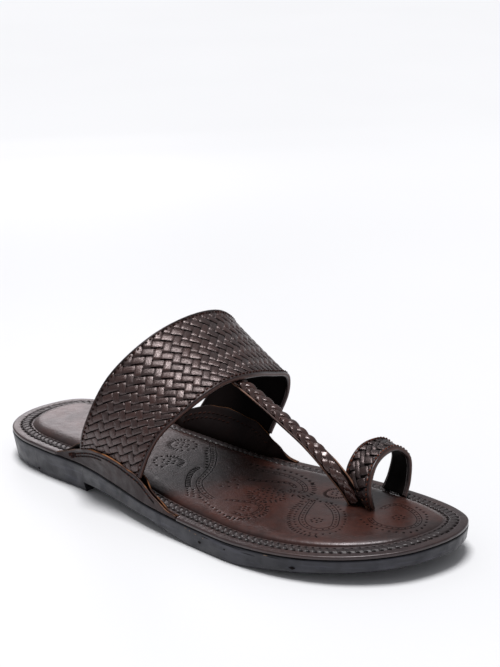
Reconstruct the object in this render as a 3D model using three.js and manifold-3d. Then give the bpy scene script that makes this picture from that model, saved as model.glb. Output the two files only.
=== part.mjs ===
// Kolhapuri sandal for the right foot: a leather footbed on a low rubber sole, with a woven instep strap,
// a braided thong and a woven toe ring. Millimetres. +X points to the toe, +Y to the medial (big toe) side,
// +Z up. The sandal stands on z = 0, and the origin is under the middle of its bounding box.

import * as THREE from 'three';
import Module from 'manifold-3d';

// ---------------------------------------------------------------- driving dimensions

const LENGTH = 286.5;               // heel tip to toe tip of the sole
const LATERAL = -1;                 // little toe side
const MEDIAL = 1;                   // big toe side
const CLEARANCE = 0.3;              // gap between pieces that touch
const STATIONS = 68;                // cross-sections along the sole

const INSOLE_THICK = 2.0;           // leather rim layer on top of the rubber
const EDGE_ROUND = 0.7;             // rounding of the insole's and outsole's upper edges
const SOLE_BEVEL = 0.6;             // bevel along the bottom edge of the rubber
const HEEL_TAPER = 2.2;             // the heel block is narrower at the floor than at the rim
const HEEL_STEP_X = 42;             // behind this line the heel's underside is cut back
const HEEL_STEP = 1.3;
const BREAST_X = 82;                // front face of the heel block

const PAD_INSET = 11.2;             // edge of the padded footbed, inside the stitched channel
const PAD_HEIGHT = 2.8;             // crown of the footbed above the rim
const ROOM_DEPTH = 10;              // how far the feet of ring and thong are cut off below the rim

const EAR_PLY = 1.0;                // each of the two leather plies of an ear
const STRAP_THICK = 2.6;            // woven wall with its lining
const STRAP_SKIVED = 2.0;           // the same wall where it is thinned inside the ears
const EAR_BEND = 6;                 // height over which an ear turns from upright to its lean
const EAR_TAPER = 9;                // length over which an ear closes beside the strap
const RING_THICK = 2.2;             // woven toe ring with its lining

// Outline of the sole seen from above, from the heel tip round the lateral side to the toe and back.
const OUTLINE = [
  [0, -1.5], [3, -19], [12, -32.5], [28, -41], [50, -44.5], [80, -46.5], [110, -52.5], [140, -59],
  [175, -62.5], [205, -64.5], [232, -61], [255, -51.5], [272, -37.5], [282, -22], [LENGTH, 4], [280, 22.5],
  [268, 31.5], [245, 38.5], [215, 41], [185, 39.5], [155, 33.5], [120, 30.5], [80, 29.5], [45, 31.5],
  [20, 28.5], [6, 20],
];

// Side profile: height of the insole rim, and of the rubber's underside in front of the heel.
const PROFILE = [
  { x: 0, rim: 17.1, under: 5.2 },
  { x: 82, rim: 17.1, under: 5.2 },
  { x: 96, rim: 16.9, under: 5.5 },
  { x: 110, rim: 16.2, under: 5.5 },
  { x: 130, rim: 15.0, under: 5.2 },
  { x: 144, rim: 14.1, under: 4.7 },
  { x: 157, rim: 13.3, under: 2.6 },
  { x: 168, rim: 12.7, under: 0.9 },
  { x: 177, rim: 12.4, under: 0 },
  { x: 190, rim: 12.2, under: 0 },
  { x: 204, rim: 12.2, under: 0 },
  { x: 214, rim: 12.5, under: 1.2 },
  { x: 225, rim: 12.8, under: 2.4 },
  { x: 240, rim: 13.4, under: 3.9 },
  { x: 257, rim: 14.3, under: 5.4 },
  { x: 272, rim: 15.3, under: 6.6 },
  { x: LENGTH, rim: 16.5, under: 7.8 },
];

// Ears: leather tabs on the rim that hold the strap's ends. height is above the rim, lean is the outward
// slope of the tab, and strapRear and strapFront bound the strap inside it.
const EARS = {
  lateral: {
    side: LATERAL,
    strapRear: 80.5,
    strapFront: 136,
    rows: [
      { x: 61, height: 0.2, lean: 0 },
      { x: 66, height: 1.6, lean: 0.2 },
      { x: 73, height: 4.6, lean: 0.45 },
      { x: 86, height: 10.6, lean: 0.64 },
      { x: 97, height: 13.9, lean: 0.52 },
      { x: 107, height: 14.8, lean: 0.38 },
      { x: 117, height: 14.0, lean: 0.24 },
      { x: 127, height: 12.2, lean: 0.11 },
      { x: 136, height: 10.2, lean: 0.02 },
      { x: 146, height: 5.2, lean: 0 },
      { x: 156, height: 1.4, lean: 0 },
      { x: 164, height: 0.2, lean: 0 },
    ],
  },
  medial: {
    side: MEDIAL,
    strapRear: 89,
    strapFront: 143,
    rows: [
      { x: 74, height: 0.2, lean: 0.2 },
      { x: 79, height: 2.8, lean: 0.6 },
      { x: 86, height: 6.6, lean: 0.95 },
      { x: 97, height: 10.4, lean: 1.02 },
      { x: 109, height: 12.0, lean: 1.0 },
      { x: 121, height: 11.6, lean: 0.97 },
      { x: 134, height: 10.2, lean: 0.92 },
      { x: 147, height: 5.8, lean: 0.8 },
      { x: 156, height: 1.8, lean: 0.4 },
      { x: 162, height: 0.2, lean: 0.1 },
    ],
  },
};

// The strap's rear and front edges inside the ears: height above the rim and the place along the sole.
const STRAP_ENDS = [
  { height: -1, lateralRear: 80.5, lateralFront: 134.2, medialRear: 90.0, medialFront: 142.2 },
  { height: 5, lateralRear: 83.0, lateralFront: 134.8, medialRear: 90.4, medialFront: 141.6 },
  { height: 11, lateralRear: 86.8, lateralFront: 136.0, medialRear: 91.2, medialFront: 141.0 },
];

// The free arch of the strap's outer face, from the lateral to the medial side.
const STRAP_ARCH = [
  { rear: [94.6, -55.4, 42.5], front: [142.2, -51.4, 45.0] },
  { rear: [102.2, -45.3, 67.2], front: [152.0, -38.6, 60.0] },
  { rear: [109.4, -23.0, 84.1], front: [157.4, -17.6, 69.1] },
  { rear: [111.5, 5.3, 90.0], front: [157.7, 4.5, 67.8] },
  { rear: [108.0, 34.0, 85.5], front: [152.0, 26.5, 61.4] },
  { rear: [99.8, 53.3, 70.6], front: [146.0, 45.2, 53.9] },
  { rear: [95.0, 53.6, 51.5], front: [142.0, 49.2, 41.8] },
];

// The toe ring's outer face, from its lateral foot over the toe to its medial foot.
const RING_ROWS = [
  { rear: [218.6, 5.6, 14.2], front: [236.7, 3.0, 14.6] },
  { rear: [219.6, 2.7, 25.1], front: [238.1, -1.2, 22.4] },
  { rear: [219.7, 4.0, 33.9], front: [237.2, -0.4, 29.3] },
  { rear: [219.0, 12.5, 40.6], front: [235.2, 6.0, 37.0] },
  { rear: [217.9, 24.5, 41.4], front: [233.4, 17.0, 40.7] },
  { rear: [217.6, 36.0, 38.4], front: [232.9, 28.4, 39.5] },
  { rear: [218.6, 42.8, 30.0], front: [234.2, 35.6, 32.6] },
  { rear: [219.8, 38.2, 20.5], front: [236.0, 33.6, 21.8] },
  { rear: [221.3, 30.4, 13.9], front: [238.2, 27.2, 14.5] },
];

// The thong, from under the strap to the ring's lateral foot. turn rolls its flat face about its run.
const THONG_ROWS = [
  { x: 147, y: -4.4, z: 69.6, width: 8.2, thick: 2.6, turn: 0 },
  { x: 154, y: -4.0, z: 66.8, width: 8.2, thick: 3.4, turn: 0 },
  { x: 163, y: -3.2, z: 62.6, width: 8.2, thick: 3.8, turn: 0 },
  { x: 182, y: -2.9, z: 53.4, width: 8.2, thick: 3.8, turn: 0 },
  { x: 200, y: -2.5, z: 44.0, width: 8.2, thick: 3.8, turn: 6 },
  { x: 210, y: -2.4, z: 37.6, width: 8.2, thick: 3.8, turn: 22 },
  { x: 217, y: -2.0, z: 31.6, width: 8.0, thick: 3.4, turn: 50 },
  { x: 223, y: -0.6, z: 24.4, width: 8.6, thick: 3.0, turn: 76 },
  { x: 229.5, y: 1.8, z: 13.0, width: 9.6, thick: 2.8, turn: 88 },
];

const COLOURS = {
  rubber: { color: 0x1d1c1f, roughness: 0.55, metalness: 0 },
  insole: { color: 0x3a2824, roughness: 0.42, metalness: 0 },
  footbed: { color: 0x422e29, roughness: 0.38, metalness: 0 },
  woven: { color: 0x2c1c18, roughness: 0.36, metalness: 0 },
  ear: { color: 0x35241f, roughness: 0.42, metalness: 0 },
};

// ---------------------------------------------------------------- curves and tables

const toVector = ([x, y, z = 0]) => new THREE.Vector3(x, y, z);

const smooth = (value, from, to) => THREE.MathUtils.smoothstep(value, from, to);

// Cubic through a table's rows, read at x. The slope at a row is the mean slope of its neighbours.
function valueAt(rows, column, x) {
  const last = rows.length - 1;
  const at = THREE.MathUtils.clamp(x, rows[0].x, rows[last].x);
  let i = 0;
  while (i < last - 1 && at > rows[i + 1].x) i += 1;
  const slope = (k) => {
    const before = rows[Math.max(k - 1, 0)];
    const after = rows[Math.min(k + 1, last)];
    return (after[column] - before[column]) / (after.x - before.x);
  };
  const span = rows[i + 1].x - rows[i].x;
  const t = (at - rows[i].x) / span;
  const rise = rows[i + 1][column] - rows[i][column];
  const startPull = slope(i) * span - rise;
  const endPull = rise - slope(i + 1) * span;
  return rows[i][column] + rise * t + t * (1 - t) * ((1 - t) * startPull + t * endPull);
}

const rimHeight = (x) => valueAt(PROFILE, 'rim', x);

// The closed outline, cut at its heel and toe tips into one run of points for each side.
function outlineSides() {
  const curve = new THREE.CatmullRomCurve3(OUTLINE.map(toVector), true, 'centripetal');
  const points = curve.getPoints(1040).slice(0, -1);
  const xs = points.map((p) => p.x);
  const heel = xs.indexOf(Math.min(...xs));
  const turned = points.slice(heel).concat(points.slice(0, heel + 1));
  const turnedXs = turned.map((p) => p.x);
  const toe = turnedXs.indexOf(Math.max(...turnedXs));
  return { [LATERAL]: turned.slice(0, toe + 1), [MEDIAL]: turned.slice(toe).reverse() };
}

const SIDES = outlineSides();

// A point of the outline at x with its direction along the side, from heel to toe.
function sideAt(side, x) {
  const run = SIDES[side];
  const last = run.length - 1;
  let i = 0;
  while (i < last - 1 && x > run[i + 1].x) i += 1;
  const t = THREE.MathUtils.clamp((x - run[i].x) / (run[i + 1].x - run[i].x), 0, 1);
  const direction = run[i + 1].clone().sub(run[i]).normalize();
  return { point: run[i].clone().lerp(run[i + 1], t), direction };
}

// The outline at x, moved square to itself towards the middle of the sole.
function insetPoint(side, x, inset) {
  const { point, direction } = sideAt(side, x);
  const inward = new THREE.Vector3(direction.y, -direction.x, 0).multiplyScalar(side);
  return point.addScaledVector(inward, inset);
}

// ---------------------------------------------------------------- meshes from grids of points

function signedVolume(positions, index) {
  const [a, b, c] = [new THREE.Vector3(), new THREE.Vector3(), new THREE.Vector3()];
  let volume = 0;
  for (let i = 0; i < index.length; i += 3) {
    a.fromArray(positions, index[i] * 3);
    b.fromArray(positions, index[i + 1] * 3);
    c.fromArray(positions, index[i + 2] * 3);
    volume += a.dot(b.cross(c)) / 6;
  }
  return volume;
}

// Loops of equal length are joined side to side, and caps close the first and the last loop.
function solidFromLoops(loops, capPairs) {
  const count = loops[0].length;
  const positions = loops.flat().flatMap((p) => [p.x, p.y, p.z]);
  const index = [];
  const quad = (a, b, c, d) => index.push(a, b, c, a, c, d);
  for (let k = 0; k < loops.length - 1; k += 1) {
    for (let i = 0; i < count; i += 1) {
      const next = (i + 1) % count;
      quad(k * count + i, k * count + next, (k + 1) * count + next, (k + 1) * count + i);
    }
  }
  const top = (loops.length - 1) * count;
  for (const [a, b, c] of capPairs(count)) {
    index.push(c, b, a);
    index.push(top + a, top + b, top + c);
  }
  if (signedVolume(positions, index) < 0) index.reverse();
  const geometry = new THREE.BufferGeometry();
  geometry.setAttribute('position', new THREE.Float32BufferAttribute(positions, 3));
  geometry.setIndex(index);
  return geometry;
}

// A cap of strips across a loop that runs up one side and back down the other.
function stripCap(count) {
  const triangles = [];
  const half = count / 2;
  for (let i = 0; i < half; i += 1) {
    const [a, b] = [i, i + 1];
    const [c, d] = [(count - i - 1) % count, (count - i) % count];
    if (b !== c) triangles.push([a, b, c]);
    if (d !== a) triangles.push([a, c, d]);
  }
  return triangles;
}

// ---------------------------------------------------------------- sole layers

// Stations along the sole, closer together towards the heel and toe tips, with both faces of each step.
function soleStations(steps) {
  const turns = (i) => (Math.PI * (i + 1)) / (STATIONS + 1);
  const even = Array.from({ length: STATIONS }, (_, i) => (LENGTH / 2) * (1 - Math.cos(turns(i))));
  const kept = even.filter((x) => steps.every((step) => Math.abs(x - step) > 1));
  const pairs = steps.flatMap((step) => [step - 0.05, step + 0.05]);
  return kept.concat(pairs).sort((a, b) => a - b);
}

// One loop round the sole: inset(side, x) moves it inwards and height(x) lifts it.
function soleLoop(stations, inset, height) {
  const place = (side, x) => {
    const point = insetPoint(side, x, inset(side, x));
    point.z = height(x);
    return point;
  };
  const tip = (x, towards) => {
    const end = SIDES[LATERAL].at(x ? -1 : 0);
    return new THREE.Vector3(x + towards * inset(LATERAL, x), end.y, height(x));
  };
  const up = stations.map((x) => place(LATERAL, x));
  const back = stations.map((x) => place(MEDIAL, x)).reverse();
  return [tip(0, 1), ...up, tip(LENGTH, -1), ...back];
}

// Underside of the rubber: the heel block stands on the floor and its rear is cut back by a small step.
function underHeight(x) {
  if (x > BREAST_X) return valueAt(PROFILE, 'under', x);
  return x < HEEL_STEP_X ? HEEL_STEP : 0;
}

function outsole() {
  const stations = soleStations([HEEL_STEP_X, BREAST_X]);
  const top = (x) => rimHeight(x) - INSOLE_THICK - CLEARANCE;
  const taper = (side, x) => (x < BREAST_X ? HEEL_TAPER : EDGE_ROUND);
  const loops = [
    soleLoop(stations, (side, x) => taper(side, x) + SOLE_BEVEL, underHeight),
    soleLoop(stations, taper, (x) => underHeight(x) + SOLE_BEVEL),
    soleLoop(stations, () => 0, (x) => top(x) - EDGE_ROUND),
    soleLoop(stations, () => EDGE_ROUND / 2, top),
  ];
  return solidFromLoops(loops, stripCap);
}

// Thickness of an ear: two plies with the strap between them, and only the plies beyond the strap.
function earThickness(ear, x) {
  const open = smooth(x, ear.strapRear - EAR_TAPER, ear.strapRear - 1)
    * (1 - smooth(x, ear.strapFront + 1, ear.strapFront + EAR_TAPER));
  return 2 * EAR_PLY + 0.4 + open * (STRAP_SKIVED + 2 * CLEARANCE - 0.4);
}

// The insole's edge is cut back where an ear stands on the outsole's edge.
function insoleNotch(side, x) {
  const ear = Object.values(EARS).find((candidate) => candidate.side === side);
  const [first, last] = [ear.rows[0].x, ear.rows.at(-1).x];
  return x > first - 0.5 && x < last + 0.5 ? earThickness(ear, x) + 2 * CLEARANCE : 0;
}

function insole() {
  const ends = Object.values(EARS).flatMap(({ rows }) => [rows[0].x - 0.5, rows.at(-1).x + 0.5]);
  const stations = soleStations(ends);
  const loops = [
    soleLoop(stations, insoleNotch, (x) => rimHeight(x) - INSOLE_THICK),
    soleLoop(stations, insoleNotch, (x) => rimHeight(x) - EDGE_ROUND),
    soleLoop(stations, (side, x) => insoleNotch(side, x) + EDGE_ROUND, rimHeight),
  ];
  return solidFromLoops(loops, stripCap);
}

// The padded footbed from base up to its crown, grown on every side by margin.
function crownedPad(base, margin) {
  const stations = soleStations([]);
  const crown = [
    { inset: 0, height: base },
    { inset: 0, height: 0.35 * PAD_HEIGHT },
    { inset: 1.3, height: 0.68 * PAD_HEIGHT },
    { inset: 4, height: 0.9 * PAD_HEIGHT },
    { inset: 10, height: PAD_HEIGHT },
  ];
  const loops = crown.map(({ inset, height }) => soleLoop(stations, () => PAD_INSET + inset - margin,
    (x) => rimHeight(x) + height + (height === base ? 0 : margin)));
  return solidFromLoops(loops, stripCap);
}

const footbed = () => crownedPad(CLEARANCE, 0);

// The room above which the feet of the toe ring and the thong end.
const footbedRoom = () => crownedPad(-ROOM_DEPTH, CLEARANCE);

// ---------------------------------------------------------------- ears

// How far an ear has moved outwards at a height above the rim, for a lean of 1.
function flare(height) {
  if (height <= 0) return 0;
  return height < EAR_BEND ? height ** 2 / (2 * EAR_BEND) : height - EAR_BEND / 2;
}

// Middle sheet of an ear at x and height, moved along the sheet's normal by offset, outwards if positive.
function earPoint(ear, x, height, offset) {
  const lean = valueAt(ear.rows, 'lean', x);
  const slope = lean * THREE.MathUtils.clamp(height / EAR_BEND, 0, 1);
  const length = Math.hypot(1, slope);
  const { y } = sideAt(ear.side, x).point;
  const out = lean * flare(height) - earThickness(ear, x) / 2 + offset / length;
  return new THREE.Vector3(x, y + ear.side * out, rimHeight(x) + height - (offset * slope) / length);
}

function ear(spec, strapSlot) {
  const rows = 44;
  const levels = 8;
  const [first, last] = [spec.rows[0].x, spec.rows.at(-1).x];
  const loops = [];
  for (let i = 0; i <= rows; i += 1) {
    const x = first + ((last - first) * i) / rows;
    const half = earThickness(spec, x) / 2;
    const top = valueAt(spec.rows, 'height', x);
    const heightAt = (k) => -INSOLE_THICK + ((top + INSOLE_THICK) * k) / levels;
    const outer = Array.from({ length: levels + 1 }, (_, k) => earPoint(spec, x, heightAt(k), half));
    const inner = Array.from({ length: levels + 1 }, (_, k) => earPoint(spec, x, heightAt(k), -half));
    loops.push([...outer, ...inner.reverse()]);
  }
  return cut(solidFromLoops(loops, stripCap), strapSlot);
}

// ---------------------------------------------------------------- upper

// Two edge curves through matching rows, as a sheet from lateral (u = 0) to medial (u = 1) and from the
// rear edge (v = 0) to the front edge (v = 1).
function sheetBetween(rows) {
  const rear = new THREE.CatmullRomCurve3(rows.map((row) => toVector(row.rear)), false, 'centripetal');
  const front = new THREE.CatmullRomCurve3(rows.map((row) => toVector(row.front)), false, 'centripetal');
  return (u, v) => rear.getPoint(u).lerp(front.getPoint(u), v);
}

// The strap's rows inside one ear, on the outer side of the ear's middle sheet.
function strapEndRows(spec, rearColumn, frontColumn) {
  const offset = STRAP_SKIVED / 2;
  return STRAP_ENDS.map((row) => ({
    rear: earPoint(spec, row[rearColumn], row.height, offset).toArray(),
    front: earPoint(spec, row[frontColumn], row.height, offset).toArray(),
  }));
}

function strapSheet() {
  const lateral = strapEndRows(EARS.lateral, 'lateralRear', 'lateralFront');
  const medial = strapEndRows(EARS.medial, 'medialRear', 'medialFront');
  return sheetBetween([...lateral, ...STRAP_ARCH, ...medial.reverse()]);
}

// Normal of a sheet, away from the foot.
function sheetNormal(sheet, u, v) {
  const step = 0.002;
  const along = sheet(Math.min(u + step, 1), v).sub(sheet(Math.max(u - step, 0), v));
  const across = sheet(u, Math.min(v + step, 1)).sub(sheet(u, Math.max(v - step, 0)));
  return across.cross(along).normalize();
}

// A wall under a sheet: outside is how far its face stands off the sheet, inside(u) how deep it goes.
// trim shortens it at both ends and margin widens it at both edges, as shares of the sheet.
function wall(sheet, { alongSteps, acrossSteps, outside = 0, inside, trim = 0, margin = 0 }) {
  const loops = [];
  for (let i = 0; i <= alongSteps; i += 1) {
    const u = trim + ((1 - 2 * trim) * i) / alongSteps;
    const face = (depth) => Array.from({ length: acrossSteps + 1 }, (_, k) => {
      const v = -margin + ((1 + 2 * margin) * k) / acrossSteps;
      const normal = sheetNormal(sheet, u, THREE.MathUtils.clamp(v, 0, 1));
      return sheet(u, v).addScaledVector(normal, depth);
    });
    loops.push([...face(outside), ...face(-inside(u)).reverse()]);
  }
  return solidFromLoops(loops, stripCap);
}

// The strap's wall is skived inside the ears, over the first and last part of its run.
function strapDepth(u) {
  const fromEnd = Math.min(u, 1 - u);
  return STRAP_SKIVED + (STRAP_THICK - STRAP_SKIVED) * smooth(fromEnd, 0.17, 0.25);
}

function strap() {
  return wall(strapSheet(), { alongSteps: 64, acrossSteps: 6, inside: strapDepth, trim: 0.004 });
}

// The room that the strap needs inside the ears.
function strapSlot() {
  return wall(strapSheet(), {
    alongSteps: 64,
    acrossSteps: 6,
    outside: CLEARANCE,
    inside: (u) => strapDepth(u) + CLEARANCE,
    margin: 0.01,
  });
}

function toeRing() {
  const sheet = sheetBetween(RING_ROWS);
  return wall(sheet, { alongSteps: 40, acrossSteps: 3, inside: () => RING_THICK });
}

// A flat oval section swept along the thong's rows.
function thong() {
  const path = new THREE.CatmullRomCurve3(THONG_ROWS.map(({ x, y, z }) => new THREE.Vector3(x, y, z)), false,
    'centripetal');
  const sides = 12;
  const steps = 36;
  const last = THONG_ROWS.length - 1;
  const loops = [];
  for (let i = 0; i <= steps; i += 1) {
    const at = (i / steps) * last;
    const index = Math.min(Math.floor(at), last - 1);
    const row = THONG_ROWS[index];
    const next = THONG_ROWS[index + 1];
    const mixed = (column) => THREE.MathUtils.lerp(row[column], next[column], at - index);
    const centre = path.getPoint(i / steps);
    const tangent = path.getTangent(i / steps);
    const across = new THREE.Vector3(0, 1, 0).addScaledVector(tangent, -tangent.y).normalize();
    across.applyAxisAngle(tangent, THREE.MathUtils.degToRad(mixed('turn')));
    const out = across.clone().cross(tangent).normalize();
    loops.push(Array.from({ length: sides }, (_, k) => {
      const angle = (2 * Math.PI * k) / sides;
      return centre.clone()
        .addScaledVector(across, (mixed('width') / 2) * Math.cos(angle))
        .addScaledVector(out, (mixed('thick') / 2) * Math.sin(angle));
    }));
  }
  return solidFromLoops(loops, stripCap);
}

// ---------------------------------------------------------------- joins and cuts

const wasm = await Module();
wasm.setup();

function toManifold(geometry) {
  return new wasm.Manifold(new wasm.Mesh({
    numProp: 3,
    vertProperties: new Float32Array(geometry.getAttribute('position').array),
    triVerts: new Uint32Array(geometry.getIndex().array),
  }));
}

function toGeometry(manifold) {
  const { vertProperties, triVerts, numProp } = manifold.getMesh();
  const geometry = new THREE.BufferGeometry();
  geometry.setAttribute('position', new THREE.BufferAttribute(new Float32Array(vertProperties), numProp));
  geometry.setIndex(new THREE.BufferAttribute(new Uint32Array(triVerts), 1));
  return geometry;
}

const join = (...pieces) => toGeometry(pieces.map(toManifold).reduce((sum, piece) => sum.add(piece)));

const cut = (piece, tool) => toGeometry(toManifold(piece).subtract(toManifold(tool)));

// ---------------------------------------------------------------- assembly

function mesh(name, geometry, finish) {
  geometry.computeVertexNormals();
  const material = new THREE.MeshStandardMaterial(finish);
  const result = new THREE.Mesh(geometry, material);
  result.name = name;
  return result;
}

function sandal() {
  const group = new THREE.Group();
  const slot = strapSlot();
  group.add(mesh('outsole', outsole(), COLOURS.rubber));
  group.add(mesh('insole', insole(), COLOURS.insole));
  group.add(mesh('footbed', footbed(), COLOURS.footbed));
  group.add(mesh('upper', cut(join(strap(), thong(), toeRing()), footbedRoom()), COLOURS.woven));
  group.add(mesh('ear_lateral', ear(EARS.lateral, slot), COLOURS.ear));
  group.add(mesh('ear_medial', ear(EARS.medial, slot), COLOURS.ear));
  const box = new THREE.Box3().setFromObject(group);
  const centre = box.getCenter(new THREE.Vector3());
  group.position.set(-centre.x, -centre.y, -box.min.z);
  return group;
}

export default sandal();
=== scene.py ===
"""A right-foot kolhapuri sandal: woven strap and toe ring, braided thong, tooled footbed, rubber sole."""

import math

import bmesh
import bpy
import numpy as np
from mathutils import Matrix, Vector


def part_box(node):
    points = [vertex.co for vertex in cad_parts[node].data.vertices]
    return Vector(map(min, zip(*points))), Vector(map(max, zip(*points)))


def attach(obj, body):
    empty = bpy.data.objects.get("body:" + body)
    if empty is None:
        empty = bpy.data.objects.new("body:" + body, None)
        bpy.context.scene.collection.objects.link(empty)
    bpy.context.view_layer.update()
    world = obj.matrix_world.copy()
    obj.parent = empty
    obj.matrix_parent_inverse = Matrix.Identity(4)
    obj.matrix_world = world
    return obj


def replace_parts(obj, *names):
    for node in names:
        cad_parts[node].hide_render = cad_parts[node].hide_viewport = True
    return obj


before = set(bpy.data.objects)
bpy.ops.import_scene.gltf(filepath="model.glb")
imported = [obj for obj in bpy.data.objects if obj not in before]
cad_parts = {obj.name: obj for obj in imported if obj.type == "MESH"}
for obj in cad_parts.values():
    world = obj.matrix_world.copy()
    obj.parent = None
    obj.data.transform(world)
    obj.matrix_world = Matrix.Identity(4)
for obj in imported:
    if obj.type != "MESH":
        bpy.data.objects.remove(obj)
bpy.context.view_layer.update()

# ------------ sizes, in mm in the shoe's own frame
# x runs from the heel tip to the toe, y is negative on the lateral side, z is up from the floor.

LENGTH = 286.5
LATERAL, MEDIAL = -1, 1
INSOLE_THICK = 2.0
EDGE_ROUND = 0.7
SOLE_BEVEL = 0.6
HEEL_TAPER = 2.2
HEEL_STEP_X, HEEL_STEP = 42, 1.3
BREAST_X = 82
PAD_INSET, PAD_HEIGHT, PAD_CROWN = 11.2, 2.8, 7.5
EAR_PLY = 1.0
STRAP_THICK, STRAP_SKIVED = 2.6, 2.0
EAR_BEND, EAR_TAPER = 6, 9
EAR_GAP, EAR_OPEN_GAP, EAR_CLEARANCE = 0.4, 0.6, 0.2
RING_THICK = 2.2
STRAP_WIDTH, RING_WIDTH = 50.0, 18.6

OUTLINE = [
    (0, -1.5), (3, -19), (12, -32.5), (28, -41), (50, -44.5), (80, -46.5), (110, -52.5), (140, -59),
    (175, -62.5), (205, -64.5), (232, -61), (255, -51.5), (272, -37.5), (282, -22), (LENGTH, 4), (280, 22.5),
    (268, 31.5), (245, 38.5), (215, 41), (185, 39.5), (155, 33.5), (120, 30.5), (80, 29.5), (45, 31.5),
    (20, 28.5), (6, 20),
]
# x, height of the rim, height of the rubber's underside
PROFILE = np.array([
    (0, 17.1, 5.2), (82, 17.1, 5.2), (96, 16.9, 5.5), (110, 16.2, 5.5), (130, 15.0, 5.2), (144, 14.1, 4.7),
    (157, 13.3, 2.6), (168, 12.7, 0.9), (177, 12.4, 0), (190, 12.2, 0), (204, 12.2, 0), (214, 12.5, 1.2),
    (225, 12.8, 2.4), (240, 13.4, 3.9), (257, 14.3, 5.4), (272, 15.3, 6.6), (LENGTH, 16.5, 7.8),
])
# x, height above the rim, outward lean; rear and front are where the strap's end opens the ear
EARS = {
    LATERAL: {"side": LATERAL, "rear": 80.5, "front": 136, "rows": np.array([
        (61, 0.2, 0), (66, 1.6, 0.2), (73, 4.6, 0.45), (86, 10.6, 0.64), (97, 13.9, 0.52),
        (107, 14.8, 0.38), (117, 14.0, 0.24), (127, 12.2, 0.11), (136, 10.2, 0.02), (146, 5.2, 0),
        (156, 1.4, 0), (164, 0.2, 0)])},
    MEDIAL: {"side": MEDIAL, "rear": 89, "front": 143, "rows": np.array([
        (74, 0.2, 0.2), (79, 2.8, 0.6), (86, 6.6, 0.95), (97, 10.4, 1.02), (109, 12.0, 1.0),
        (121, 11.6, 0.97), (134, 10.2, 0.92), (147, 5.8, 0.8), (156, 1.8, 0.4), (162, 0.2, 0.1)])},
}
# height above the rim, then x of the strap's edges: lateral rear, lateral front, medial rear, medial front
STRAP_ENDS = [(-1, 80.5, 134.2, 90.0, 142.2), (5, 83.0, 134.8, 90.4, 141.6), (11, 86.8, 136.0, 91.2, 141.0)]
# points of the rear and the front edge, from the lateral side over the foot, or round the toe, to the medial
STRAP_ARCH = [
    ((94.6, -55.4, 42.5), (142.2, -51.4, 45.0)), ((102.2, -45.3, 67.2), (152.0, -38.6, 60.0)),
    ((109.4, -23.0, 84.1), (157.4, -17.6, 69.1)), ((111.5, 5.3, 90.0), (157.7, 4.5, 67.8)),
    ((108.0, 34.0, 85.5), (152.0, 26.5, 61.4)), ((99.8, 53.3, 70.6), (146.0, 45.2, 53.9)),
    ((95.0, 53.6, 51.5), (142.0, 49.2, 41.8)),
]
RING_ROWS = [
    ((218.6, 5.6, 14.2), (236.7, 3.0, 14.6)), ((219.6, 2.7, 25.1), (238.1, -1.2, 22.4)),
    ((219.7, 4.0, 33.9), (237.2, -0.4, 29.3)), ((219.0, 12.5, 40.6), (235.2, 6.0, 37.0)),
    ((217.9, 24.5, 41.4), (233.4, 17.0, 40.7)), ((217.6, 36.0, 38.4), (232.9, 28.4, 39.5)),
    ((218.6, 42.8, 30.0), (234.2, 35.6, 32.6)), ((219.8, 38.2, 20.5), (236.0, 33.6, 21.8)),
    ((221.3, 30.4, 13.9), (238.2, 27.2, 14.5)),
]
# x, y, z, width, turn in degrees
THONG_ROWS = np.array([
    (147, -4.4, 69.6, 8.2, 0), (154, -4.0, 66.8, 8.2, 0), (163, -3.2, 62.6, 8.2, 0),
    (182, -2.9, 53.4, 8.2, 0), (200, -2.5, 44.0, 8.2, 6), (210, -2.4, 37.6, 8.2, 22),
    (217, -2.0, 31.6, 8.0, 50), (223, -0.6, 24.4, 8.6, 76), (229.5, 1.8, 13.0, 9.6, 88),
])

# ------------ curves and tables


def value_at(rows, column, x):
    """Cubic through a table's rows; the slope at a row is the mean slope of its neighbours."""
    last = len(rows) - 1
    xs, ys = rows[:, 0], rows[:, column]
    at = np.clip(np.atleast_1d(np.asarray(x, float)), xs[0], xs[last])
    i = np.clip(np.searchsorted(xs, at, side="left") - 1, 0, last - 1)
    k = np.arange(last + 1)
    before, after = np.maximum(k - 1, 0), np.minimum(k + 1, last)
    slope = (ys[after] - ys[before]) / (xs[after] - xs[before])
    span = xs[i + 1] - xs[i]
    t = (at - xs[i]) / span
    rise = ys[i + 1] - ys[i]
    start, end = slope[i] * span - rise, rise - slope[i + 1] * span
    return ys[i] + rise * t + t * (1 - t) * ((1 - t) * start + t * end)


def catmull(points, t, closed=False):
    """Centripetal Catmull-Rom curve through points, at t from 0 to 1."""
    p = np.asarray(points, float)
    t = np.atleast_1d(np.asarray(t, float))
    n = len(p)
    at = (n if closed else n - 1) * t
    i = np.floor(at).astype(int)
    w = at - i
    if closed:
        p0, p1, p2, p3 = (p[(i + k) % n] for k in (-1, 0, 1, 2))
    else:
        w = np.where(i >= n - 1, 1.0, w)
        i = np.minimum(i, n - 2)
        padded = np.vstack([2 * p[0] - p[1], p, 2 * p[-1] - p[-2]])
        p0, p1, p2, p3 = (padded[i + k] for k in (0, 1, 2, 3))

    def knot(a, b):
        return np.maximum(((a - b) ** 2).sum(1) ** 0.25, 1e-9)[:, None]

    d0, d1, d2 = knot(p0, p1), knot(p1, p2), knot(p2, p3)
    t1 = ((p1 - p0) / d0 - (p2 - p0) / (d0 + d1) + (p2 - p1) / d1) * d1
    t2 = ((p2 - p1) / d1 - (p3 - p1) / (d1 + d2) + (p3 - p2) / d2) * d1
    w = w[:, None]
    return p1 + t1 * w + (-3 * p1 + 3 * p2 - 2 * t1 - t2) * w ** 2 + (2 * p1 - 2 * p2 + t1 + t2) * w ** 3


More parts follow.
